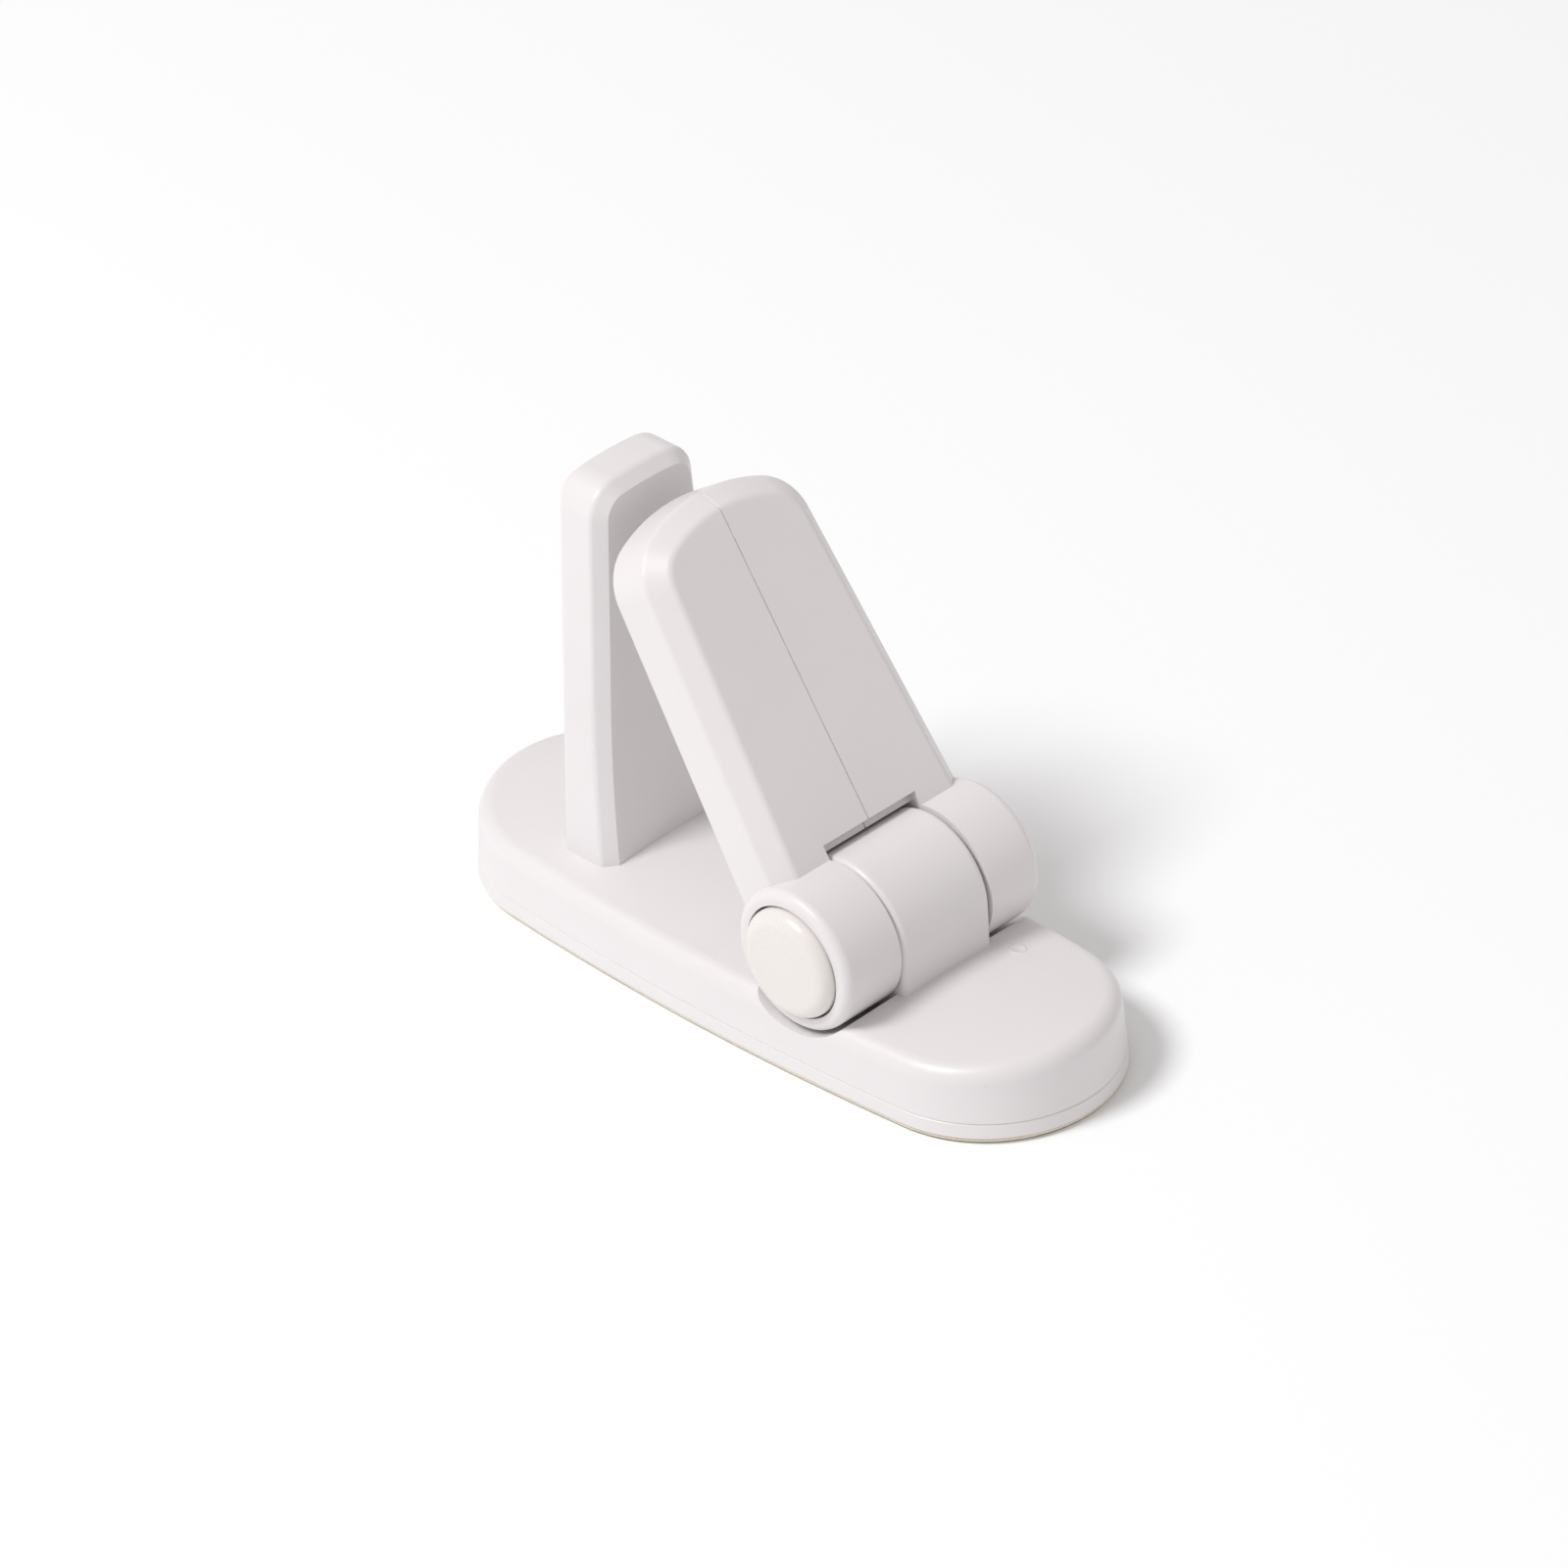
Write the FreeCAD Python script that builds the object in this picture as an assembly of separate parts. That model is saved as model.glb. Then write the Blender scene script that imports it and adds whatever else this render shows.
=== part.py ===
import FreeCAD
import Part
import math
import os

# Self-adhesive door lever lock, millimetres, +Z up out of the door.
# Origin: centre of the adhesive face. +X runs from the post to the hinge.
# The push button is on the -Y side.

# adhesive layer
liner_thickness = 0.15
pad_top = 1.0
pad_inset = 0.6

# base
base_length = 105.0
base_width = 38.4
base_end_radius = 17.75
plate_top = 3.0
base_crown_z = 11.7
base_crown_radius = 100.0
base_draft = 0.75
base_edge_fillet = 2.3
base_wall = 2.1
seam_chamfer = 0.15
locating_lip_height = 1.2
locating_lip_wall = 1.2
locating_lip_gap = 0.25

# base screws
base_screw_x = 40.0
base_screw_y = 9.0
base_boss_radius = 3.0
base_pilot_radius = 1.15
base_pilot_top = 8.6
base_screw_head_radius = 2.7
base_screw_head_height = 1.5
base_screw_hole_radius = 1.5
base_screw_length = 7.2
base_screw_sink = 0.1

# post
post_front_x = -22.85
post_back_x = -31.6
post_foot_x = -21.7
post_flare_top = 34.0
post_top_z = 66.8
post_half_width_top = 8.8
post_half_width_foot = 12.3
post_corner_radius = 4.8
post_arch_radius = 50.0
post_chamfer = 1.7
post_crest_fillet = 1.0
post_wall = 2.1

# hinge
hinge_x = 17.95
hinge_z = 17.71
knuckle_radius = 10.0
knuckle_left_end = -18.1
knuckle_right_end = 17.3
knuckle_inner_face = 8.3
knuckle_end_fillet = 1.3
pedestal_half_width = 7.9
pedestal_edge_fillet = 0.9
scoop_radius = 10.6
scoop_wall = 2.2

# sliding lock: lugs that catch only near the closed and the fully open arm
lock_lugs = 3
gear_tip_radius = 8.6
gear_root_radius = 7.75
lug_half_angle = 3.5
lug_radial_gap = 0.15
lug_angular_gap = 0.9
catch_wall_angle = 5.6
gear_outer_y = -11.2
gear_inner_y = -4.4
gear_web_thickness = 1.8
spring_pocket_radius = 5.4
pedestal_bore_end_y = -0.8
pedestal_pocket_floor_y = 2.0

# button
button_radius = 7.7
button_bore_radius = 8.0
button_face_y = -19.8
button_edge_fillet = 1.9
button_wall = 1.7
button_boss_radius = 2.3
button_screw_head_radius = 2.1
button_screw_head_height = 1.4
button_screw_radius = 0.95
button_screw_hole_radius = 1.2
button_screw_tip_y = -16.2
button_pilot_end_y = -16.7

# return spring
spring_wire_radius = 0.4
spring_mean_radius = 4.4
spring_turns = 6.5
spring_seat_gap = 0.05

# hinge pin on the closed side
pin_radius = 2.5
pin_running_gap = 0.05
pin_inner_y = 3.9
pin_outer_y = 14.9
pin_bore_inner_y = 3.6
pin_end_chamfer = 0.4

# stop lug on the pedestal and its arc pocket in the closed knuckle
stop_lug_inner_radius = 5.6
stop_lug_outer_radius = 7.8
stop_lug_half_angle = 10.0
stop_lug_angle = 180.0
stop_lug_end_y = 10.3
stop_pocket_end_y = 10.9
stop_pocket_gap = 0.3
stop_end_clearance = 0.3
arm_swing_angle = 120.0

# arm, in its own upright frame: hinge axis at the origin, +Z along the arm
arm_lean = 33.35
arm_face_x = 3.5
arm_back_x = -6.5
arm_half_width_hinge = 17.4
arm_taper = 0.058
arm_tip_z = 58.3
arm_tip_radius = 25.0
arm_corner_radius = 7.5
arm_face_chamfer = 2.7
arm_crest_fillet = 1.2
arm_back_fillet = 1.3
arm_slot_radius = 10.45
arm_slot_step_depth = 1.6
arm_slot_step_z = 11.37
arm_wall = 2.0
arm_cavity_bottom_z = 15.0
arm_seam_chamfer = 0.15

# arm screws, driven from the closed side
arm_screw_heights = (20.0, 34.5, 48.5)
arm_screw_x = -1.8
arm_boss_radius = 2.9
arm_counterbore_radius = 2.5
arm_screw_head_radius = 2.2
arm_screw_head_height = 1.5
arm_screw_seat_y = 8.0
arm_screw_hole_radius = 1.25
arm_screw_radius = 1.05
arm_screw_tip_y = -8.0
arm_pilot_radius = 1.07
arm_pilot_end_y = -9.0

along_y = FreeCAD.Vector(0, 1, 0)
along_x = FreeCAD.Vector(1, 0, 0)
hinge_point = FreeCAD.Vector(hinge_x, 0, hinge_z)


def vec(x, y, z):
    return FreeCAD.Vector(x, y, z)


def block(x0, x1, y0, y1, z0, z1):
    return Part.makeBox(x1 - x0, y1 - y0, z1 - z0, vec(x0, y0, z0))


def cylinder_y(radius, y0, y1, x=0.0, z=0.0):
    return Part.makeCylinder(radius, y1 - y0, vec(x, y0, z), along_y)


def cylinder_z(radius, z0, z1, x, y):
    return Part.makeCylinder(radius, z1 - z0, vec(x, y, z0))


def hinge_cylinder(radius, y0, y1):
    return cylinder_y(radius, y0, y1, hinge_x, hinge_z)


def arc(start, middle, end):
    return Part.Arc(start, middle, end).toShape()


def line(start, end):
    return Part.LineSegment(start, end).toShape()


def obround_wire(inset, z):
    """Base outline: round ends joined tangentially by slightly bowed sides."""
    half_width = base_width / 2 - inset
    radius = base_end_radius - inset
    centre = base_length / 2 - base_end_radius
    side_radius = (centre**2 + half_width**2 - radius**2) / (2 * (half_width - radius))
    reach = side_radius - radius
    tx = centre + radius * centre / reach
    ty = radius * (side_radius - half_width) / reach
    end = centre + radius
    edges = [
        arc(vec(-tx, ty, z), vec(0, half_width, z), vec(tx, ty, z)),
        arc(vec(tx, ty, z), vec(end, 0, z), vec(tx, -ty, z)),
        arc(vec(tx, -ty, z), vec(0, -half_width, z), vec(-tx, -ty, z)),
        arc(vec(-tx, -ty, z), vec(-end, 0, z), vec(-tx, ty, z)),
    ]
    return Part.Wire(edges)


def obround_slab(inset_low, inset_high, z0, z1):
    wires = [obround_wire(inset_low, z0), obround_wire(inset_high, z1)]
    return Part.makeLoft(wires, True, True)


def under_crown(top_z, radius):
    """Everything below the cross-crowned top surface."""
    reach = base_length
    return Part.makeCylinder(radius, 2 * reach, vec(-reach, 0, top_z - radius), along_x)


def edges_where(shape, test):
    return [edge for edge in shape.Edges if test(edge)]


def in_plane(edge, axis, value, tolerance=1e-4):
    box = edge.BoundBox
    low = (box.XMin, box.YMin, box.ZMin)[axis]
    high = (box.XMax, box.YMax, box.ZMax)[axis]
    return abs(low - value) < tolerance and abs(high - value) < tolerance


def place_arm(shape):
    """Lean the upright arm towards the post and set it on the hinge axis."""
    placed = shape.copy()
    placed.rotate(vec(0, 0, 0), along_y, -arm_lean)
    placed.translate(hinge_point)
    return placed


def sector(inner, outer, start_angle, end_angle, y0, y1):
    """Ring sector about the hinge axis, angles turning from +Z towards +X."""

    def point(radius, angle):
        turn = math.radians(angle)
        return vec(hinge_x + radius * math.sin(turn), y0, hinge_z + radius * math.cos(turn))

    middle = (start_angle + end_angle) / 2
    edges = [
        arc(point(outer, start_angle), point(outer, middle), point(outer, end_angle)),
        line(point(outer, end_angle), point(inner, end_angle)),
        arc(point(inner, end_angle), point(inner, middle), point(inner, start_angle)),
        line(point(inner, start_angle), point(outer, start_angle)),
    ]
    return Part.Face(Part.Wire(edges)).extrude(vec(0, y1 - y0, 0))


def lug_middles():
    return [lug * 360.0 / lock_lugs for lug in range(lock_lugs)]


def lug_bar(gap, angular_gap, y0, y1):
    """Round bar about the hinge axis with the lock lugs standing out of it."""
    bar = hinge_cylinder(gear_root_radius + gap, y0, y1)
    half = lug_half_angle + angular_gap
    for middle in lug_middles():
        lug = sector(
            gear_root_radius - 1, gear_tip_radius + gap, middle - half, middle + half, y0, y1
        )
        bar = bar.fuse(lug)
    return bar.removeSplitter()


def catch_bore(y0, y1):
    """Round bore of the arm, less the two catch walls beside each lug."""
    root = gear_root_radius + lug_radial_gap
    tip = gear_tip_radius + lug_radial_gap
    near = lug_half_angle + lug_angular_gap
    far = near + catch_wall_angle
    bore = hinge_cylinder(tip, y0, y1)
    for middle in lug_middles():
        bore = bore.cut(sector(root, tip + 1, middle + near, middle + far, y0, y1))
        bore = bore.cut(sector(root, tip + 1, middle - far, middle - near, y0, y1))
    return bore


def pan_head_screw(head_radius, head_height, shank_radius, length, head_hole):
    """Upright screw, head on top with its seat at z = 0, shank pointing down."""
    head = Part.makeCylinder(head_radius, head_height)
    rim = edges_where(head, lambda edge: in_plane(edge, 2, head_height))
    head = head.makeFillet(head_height * 0.45, rim)
    tip = shank_radius * 0.8
    shank = Part.makeCylinder(shank_radius, length - tip, vec(0, 0, -(length - tip)))
    point = Part.makeCone(shank_radius * 0.35, shank_radius, tip, vec(0, 0, -length))
    return head.fuse([shank, point]).cut(cross_recess(head_hole, head_height)).removeSplitter()


def cross_recess(half_size, top_z, depth=0.8):
    arm = half_size * 0.28
    one = block(-half_size, half_size, -arm, arm, top_z - depth, top_z + 1)
    other = block(-arm, arm, -half_size, half_size, top_z - depth, top_z + 1)
    return one.fuse(other)


def arched_outline(foot_half_width, taper, tip_z, tip_radius, corner_radius, inset, low_z):
    """Outline in the YZ plane: tapered sides, round corners and an arched top, all tangent.

    foot_half_width is the half width at z = 0, and taper what it loses per unit of z.
    """
    corner = corner_radius - inset
    arch = tip_radius - inset
    arch_centre_z = tip_z - tip_radius
    lean = math.atan(taper)

    def half_width(z):
        return foot_half_width - taper * z - inset / math.cos(lean)

    # corner centre: one corner radius inside the side and inside the arch
    low, high = arch_centre_z, tip_z
    for _ in range(60):
        centre_z = (low + high) / 2
        centre_y = half_width(centre_z) - corner / math.cos(lean)
        if math.hypot(centre_y, centre_z - arch_centre_z) < arch - corner:
            low = centre_z
        else:
            high = centre_z
    side_y = centre_y + corner * math.cos(lean)
    side_z = centre_z + corner * math.sin(lean)
    spread = math.atan2(centre_y, centre_z - arch_centre_z)
    top_y = arch * math.sin(spread)
    top_z = arch_centre_z + arch * math.cos(spread)
    turn = (math.pi / 2 - lean + spread) / 2
    mid_y = centre_y + corner * math.sin(turn)
    mid_z = centre_z + corner * math.cos(turn)
    low_y = half_width(low_z)
    return Part.Wire([
        line(vec(0, low_y, low_z), vec(0, side_y, side_z)),
        arc(vec(0, side_y, side_z), vec(0, mid_y, mid_z), vec(0, top_y, top_z)),
        arc(vec(0, top_y, top_z), vec(0, 0, tip_z - inset), vec(0, -top_y, top_z)),
        arc(vec(0, -top_y, top_z), vec(0, -mid_y, mid_z), vec(0, -side_y, side_z)),
        line(vec(0, -side_y, side_z), vec(0, -low_y, low_z)),
        line(vec(0, -low_y, low_z), vec(0, low_y, low_z)),
    ])


def make_post():
    """Fixed post: drafted slab, flared foot, chamfered edges, rounded top."""
    low = plate_top + base_wall + 1
    rise = post_flare_top - base_crown_z
    flare = post_foot_x - post_front_x
    flare_middle = vec(post_front_x + flare / 4, 0, post_flare_top - rise / 2)
    flare_start = vec(post_front_x, 0, post_flare_top)
    flare_end = vec(post_foot_x, 0, base_crown_z)
    low_front = vec(post_foot_x, 0, low)
    low_back = vec(post_back_x, 0, low)
    top_back = vec(post_back_x, 0, post_top_z + 1)
    top_front = vec(post_front_x, 0, post_top_z + 1)
    side = Part.Wire([
        arc(flare_end, flare_middle, flare_start),
        line(flare_start, top_front),
        line(top_front, top_back),
        line(top_back, low_back),
        line(low_back, low_front),
        line(low_front, flare_end),
    ])
    reach = base_width / 2
    slab = Part.Face(side).extrude(vec(0, 2 * reach, 0))
    slab.translate(vec(0, -reach, 0))

    taper = (post_half_width_foot - post_half_width_top) / (post_top_z - base_crown_z)
    foot_half_width = post_half_width_foot + taper * base_crown_z
    front = arched_outline(
        foot_half_width, taper, post_top_z, post_arch_radius, post_corner_radius, 0, low
    )
    front_prism = Part.Face(front).extrude(vec(base_width, 0, 0))
    front_prism.translate(vec(post_back_x - base_width / 4, 0, 0))
    post = slab.common(front_prism).removeSplitter()

    def rim(edge):
        box = edge.BoundBox
        level = box.ZLength < 0.01
        return box.XLength < 3 and not level

    post = post.makeChamfer(post_chamfer, edges_where(post, rim))

    def crest(edge):
        box = edge.BoundBox
        on_front = abs(box.XMin - (post_front_x - post_chamfer)) < 0.1
        on_back = abs(box.XMin - (post_back_x + post_chamfer)) < 0.1
        along = box.XLength < 0.7 * post_chamfer
        long = max(box.YLength, box.ZLength) > 2.5
        return (on_front or on_back) and along and long and box.ZLength > 0.01

    return post.makeFillet(post_crest_fillet, edges_where(post, crest))


def make_post_core():
    """Tapered pocket that hollows the post from below."""
    taper = (post_half_width_foot - post_half_width_top) / (post_top_z - base_crown_z)
    foot_half_width = post_half_width_foot + taper * base_crown_z
    outline = arched_outline(
        foot_half_width, taper, post_top_z, post_arch_radius, post_corner_radius,
        post_wall, plate_top - 1,
    )
    depth = post_front_x - post_back_x - 2 * post_wall
    core = Part.Face(outline).extrude(vec(depth, 0, 0))
    core.translate(vec(post_back_x + post_wall, 0, 0))
    return core


def make_pedestal():
    """Fixed centre knuckle with its vertical cheeks."""
    half = pedestal_half_width
    low = plate_top + base_wall
    left = hinge_x - knuckle_radius
    right = hinge_x + knuckle_radius
    profile = Part.Wire([
        line(vec(left, -half, low), vec(left, -half, hinge_z)),
        arc(
            vec(left, -half, hinge_z),
            vec(hinge_x, -half, hinge_z + knuckle_radius),
            vec(right, -half, hinge_z),
        ),
        line(vec(right, -half, hinge_z), vec(right, -half, low)),
        line(vec(right, -half, low), vec(left, -half, low)),
    ])
    solid = Part.Face(profile).extrude(vec(0, 2 * half, 0))

    def rim(edge):
        on_cheek = in_plane(edge, 1, -half) or in_plane(edge, 1, half)
        return on_cheek and edge.BoundBox.ZMax > low + 1

    return solid.makeFillet(pedestal_edge_fillet, edges_where(solid, rim))


def screw_positions():
    return [(sx * base_screw_x, sy * base_screw_y) for sx in (-1, 1) for sy in (-1, 1)]


def make_base_shell():
    height = base_crown_z - pad_top
    slope = base_draft / height
    low_inset = slope * (plate_top - pad_top)
    top = base_crown_z + 1
    high_inset = slope * (top - pad_top)
    shell = obround_slab(low_inset, high_inset, plate_top, top)
    shell = shell.common(under_crown(base_crown_z, base_crown_radius)).removeSplitter()
    rim_z = base_crown_z - 3.5
    shell = shell.makeFillet(
        base_edge_fillet, edges_where(shell, lambda edge: edge.BoundBox.ZMin > rim_z)
    )
    foot = edges_where(shell, lambda edge: in_plane(edge, 2, plate_top))
    shell = shell.makeChamfer(seam_chamfer, foot)

    reach = base_width
    half = pedestal_half_width
    scoops = [
        hinge_cylinder(scoop_radius, -reach, -half),
        hinge_cylinder(scoop_radius, half, reach),
    ]
    shell = shell.cut(scoops[0]).cut(scoops[1])

    cavity = obround_slab(low_inset + base_wall, high_inset + base_wall, plate_top - 1, top)
    cavity = cavity.common(under_crown(base_crown_z - base_wall, base_crown_radius - base_wall))
    cavity = cavity.cut(hinge_cylinder(scoop_radius + scoop_wall, -reach, reach))
    for x, y in screw_positions():
        cavity = cavity.cut(cylinder_z(base_boss_radius, plate_top, top, x, y))

    shell = shell.fuse([make_post(), make_pedestal()])
    shell = shell.cut(cavity).cut(make_post_core())

    for x, y in screw_positions():
        shell = shell.cut(cylinder_z(base_pilot_radius, plate_top - 1, base_pilot_top, x, y))

    bore = lug_bar(
        lug_radial_gap, lug_angular_gap, -pedestal_half_width - 1, pedestal_bore_end_y
    )
    pocket = hinge_cylinder(
        spring_pocket_radius, pedestal_bore_end_y - 1, pedestal_pocket_floor_y
    )
    pin_bore = hinge_cylinder(
        pin_radius + pin_running_gap, pin_bore_inner_y, pedestal_half_width + 1
    )
    shell = shell.cut(bore).cut(pocket).cut(pin_bore)

    lug = sector(
        stop_lug_inner_radius,
        stop_lug_outer_radius,
        stop_lug_angle - stop_lug_half_angle,
        stop_lug_angle + stop_lug_half_angle,
        pedestal_half_width - 1,
        stop_lug_end_y,
    )
    return shell.fuse(lug).removeSplitter()


def make_base_plate():
    height = base_crown_z - pad_top
    slope = base_draft / height
    plate = obround_slab(0, slope * (plate_top - pad_top), pad_top, plate_top)
    top_edges = edges_where(plate, lambda edge: in_plane(edge, 2, plate_top))
    plate = plate.makeChamfer(seam_chamfer, top_edges)

    lip_inset = base_wall + slope * (plate_top - pad_top) + locating_lip_gap
    lip_top = plate_top + locating_lip_height
    lip_outer = obround_slab(lip_inset, lip_inset, plate_top - 0.5, lip_top)
    lip_inner = obround_slab(
        lip_inset + locating_lip_wall, lip_inset + locating_lip_wall, plate_top - 1, lip_top + 1
    )
    plate = plate.fuse(lip_outer.cut(lip_inner).cut(
        block(-base_length, base_length, -base_width, base_width, pad_top, plate_top - 0.5)
    ))
    for x, y in screw_positions():
        clear = cylinder_z(base_boss_radius + 0.3, plate_top, lip_top + 1, x, y)
        hole = cylinder_z(base_screw_hole_radius, 0, lip_top, x, y)
        sink = Part.makeCone(
            base_screw_head_radius + 0.15,
            base_screw_hole_radius,
            base_screw_head_height,
            vec(x, y, pad_top),
        )
        plate = plate.cut(clear).cut(hole).cut(sink)
    return plate.removeSplitter()


def make_base_screws():
    screws = []
    for x, y in screw_positions():
        seat = pad_top + base_screw_sink
        shank_radius = base_pilot_radius - 0.03
        head = Part.makeCone(
            base_screw_head_radius, shank_radius, base_screw_head_height, vec(x, y, seat)
        )
        shank_end = seat + base_screw_length - 0.8
        shank = cylinder_z(shank_radius, seat + 0.5, shank_end, x, y)
        tip = Part.makeCone(shank_radius, shank_radius * 0.35, 0.8, vec(x, y, shank_end))
        recess = cross_recess(1.4, 0.0)
        recess.rotate(vec(0, 0, 0), along_x, 180)
        recess.translate(vec(x, y, seat))
        screws.append(head.fuse([shank, tip]).cut(recess).removeSplitter())
    return Part.makeCompound(screws)


def make_adhesive(z0, z1):
    return obround_slab(pad_inset, pad_inset, z0, z1)


def arm_slab(inset, x0, x1, low_z):
    outline = arched_outline(
        arm_half_width_hinge, arm_taper, arm_tip_z, arm_tip_radius, arm_corner_radius, inset, low_z
    )
    slab = Part.Face(outline).extrude(vec(x1 - x0, 0, 0))
    slab.translate(vec(x0, 0, 0))
    return slab


def make_arm_body():
    """Outside of the whole arm, before it is split and hollowed."""
    blade = arm_slab(0, arm_back_x, arm_face_x, 0)
    front = edges_where(
        blade, lambda edge: in_plane(edge, 0, arm_face_x) and not in_plane(edge, 2, 0)
    )
    blade = blade.makeChamfer(arm_face_chamfer, front)

    def crest(edge):
        on_face = in_plane(edge, 0, arm_face_x)
        on_side = in_plane(edge, 0, arm_face_x - arm_face_chamfer)
        return (on_face or on_side) and not in_plane(edge, 2, 0)

    blade = blade.makeFillet(arm_crest_fillet, edges_where(blade, crest))
    back = edges_where(
        blade, lambda edge: in_plane(edge, 0, arm_back_x) and not in_plane(edge, 2, 0)
    )
    blade = blade.makeFillet(arm_back_fillet, back)
    reach = arm_tip_z + 1
    blade = blade.common(block(-reach, reach, knuckle_left_end, knuckle_right_end, 0, reach))

    barrel = cylinder_y(knuckle_radius, knuckle_left_end, knuckle_right_end)
    ends = edges_where(
        barrel,
        lambda edge: in_plane(edge, 1, knuckle_left_end) or in_plane(edge, 1, knuckle_right_end),
    )
    barrel = barrel.makeFillet(knuckle_end_fillet, ends)
    clear = cylinder_y(arm_slot_radius, -knuckle_inner_face, knuckle_inner_face)
    step = block(
        arm_face_x - arm_slot_step_depth, reach, -knuckle_inner_face, knuckle_inner_face,
        0, arm_slot_step_z,
    )
    return blade.fuse(barrel).cut(clear).cut(step).removeSplitter()


def make_arm_half(body, side):
    """side -1 is the button half, +1 the closed half."""
    reach = arm_tip_z + 10
    keep = block(-reach, reach, 0, reach, -reach, reach)
    if side < 0:
        keep = block(-reach, reach, -reach, 0, -reach, reach)
    half = body.common(keep)

    seam = edges_where(
        half, lambda edge: in_plane(edge, 1, 0) and edge.BoundBox.DiagonalLength > 0.5
    )
    half = half.makeChamfer(arm_seam_chamfer, seam)

    cavity = arm_slab(arm_wall, arm_back_x + arm_wall, arm_face_x - arm_wall, arm_cavity_bottom_z)
    for z in arm_screw_heights:
        cavity = cavity.cut(cylinder_y(arm_boss_radius, -reach, reach, arm_screw_x, z))
    half = half.cut(cavity.common(keep))

    for z in arm_screw_heights:
        if side < 0:
            half = half.cut(cylinder_y(arm_pilot_radius, arm_pilot_end_y, 1, arm_screw_x, z))
        else:
            through = cylinder_y(arm_screw_hole_radius, -1, reach, arm_screw_x, z)
            counterbore = cylinder_y(
                arm_counterbore_radius, arm_screw_seat_y, reach, arm_screw_x, z
            )
            half = half.cut(through).cut(counterbore)
    return half


def make_arm_half_left(body):
    half = place_arm(make_arm_half(body, -1))
    reach = 2 * knuckle_left_end
    bore = hinge_cylinder(button_bore_radius, reach, gear_outer_y)
    return half.cut(bore).cut(catch_bore(gear_outer_y, 0))


def make_arm_half_right(body):
    half = place_arm(make_arm_half(body, 1))
    half = half.cut(hinge_cylinder(pin_radius, 0, pin_outer_y + 0.3))
    edge_clearance = stop_end_clearance + stop_lug_half_angle
    pocket = sector(
        stop_lug_inner_radius - stop_pocket_gap,
        stop_lug_outer_radius + stop_pocket_gap,
        stop_lug_angle - arm_swing_angle - edge_clearance,
        stop_lug_angle + edge_clearance,
        0,
        stop_pocket_end_y,
    )
    return half.cut(pocket)


def make_arm_screws():
    screws = []
    length = arm_screw_seat_y - arm_screw_tip_y
    for z in arm_screw_heights:
        screw = pan_head_screw(
            arm_screw_head_radius, arm_screw_head_height, arm_screw_radius, length, 1.3
        )
        screw.rotate(vec(0, 0, 0), along_x, -90)
        screw.translate(vec(arm_screw_x, arm_screw_seat_y, z))
        screws.append(place_arm(screw))
    return Part.makeCompound(screws)


def make_hinge_pin():
    pin = hinge_cylinder(pin_radius, pin_inner_y, pin_outer_y)
    ends = edges_where(
        pin, lambda edge: in_plane(edge, 1, pin_inner_y) or in_plane(edge, 1, pin_outer_y)
    )
    return pin.makeChamfer(pin_end_chamfer, ends)


def make_push_button():
    button = hinge_cylinder(button_radius, button_face_y, gear_outer_y)
    face = edges_where(button, lambda edge: in_plane(edge, 1, button_face_y))
    button = button.makeFillet(button_edge_fillet, face)
    hollow = hinge_cylinder(
        button_radius - button_wall, button_face_y + button_wall, gear_outer_y + 1
    )
    hollow = hollow.cut(hinge_cylinder(button_boss_radius, button_face_y, gear_outer_y + 1))
    pilot = hinge_cylinder(button_screw_radius + 0.02, button_pilot_end_y, gear_outer_y + 1)
    return button.cut(hollow).cut(pilot)


def make_lock_gear():
    gear = lug_bar(0, 0, gear_outer_y, gear_inner_y)
    web_y = gear_outer_y + gear_web_thickness
    gear = gear.cut(hinge_cylinder(spring_pocket_radius, web_y, gear_inner_y + 1))
    return gear.cut(hinge_cylinder(button_screw_hole_radius, gear_outer_y - 1, web_y + 1))


def make_button_screw():
    seat_y = gear_outer_y + gear_web_thickness
    screw = pan_head_screw(
        button_screw_head_radius,
        button_screw_head_height,
        button_screw_radius,
        seat_y - button_screw_tip_y,
        1.2,
    )
    screw.rotate(vec(0, 0, 0), along_x, -90)
    screw.translate(vec(hinge_x, seat_y, hinge_z))
    return screw


def make_return_spring():
    start_y = gear_outer_y + gear_web_thickness + spring_wire_radius + spring_seat_gap
    end_y = pedestal_pocket_floor_y - spring_wire_radius - spring_seat_gap
    height = end_y - start_y
    helix = Part.makeHelix(height / spring_turns, height, spring_mean_radius)
    start = vec(spring_mean_radius, 0, 0)
    section = Part.Wire(Part.makeCircle(spring_wire_radius, start, along_y))
    wire = Part.Wire(helix.Edges).makePipeShell([section], True, True)
    spring = Part.Solid(wire) if wire.ShapeType == "Shell" else wire
    spring.rotate(vec(0, 0, 0), along_x, -90)
    spring.translate(vec(hinge_x, start_y, hinge_z))
    return spring


def write(name, shape):
    if not shape.isValid():
        raise ValueError(name + " is not a valid shape")
    shape.exportStep(os.path.join("parts", name + ".step"))
    box = shape.BoundBox
    print(
        "%-16s solids %d  volume %8.1f  x %.2f %.2f  y %.2f %.2f  z %.2f %.2f"
        % (name, len(shape.Solids), shape.Volume, box.XMin, box.XMax, box.YMin, box.YMax,
           box.ZMin, box.ZMax)
    )


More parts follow.
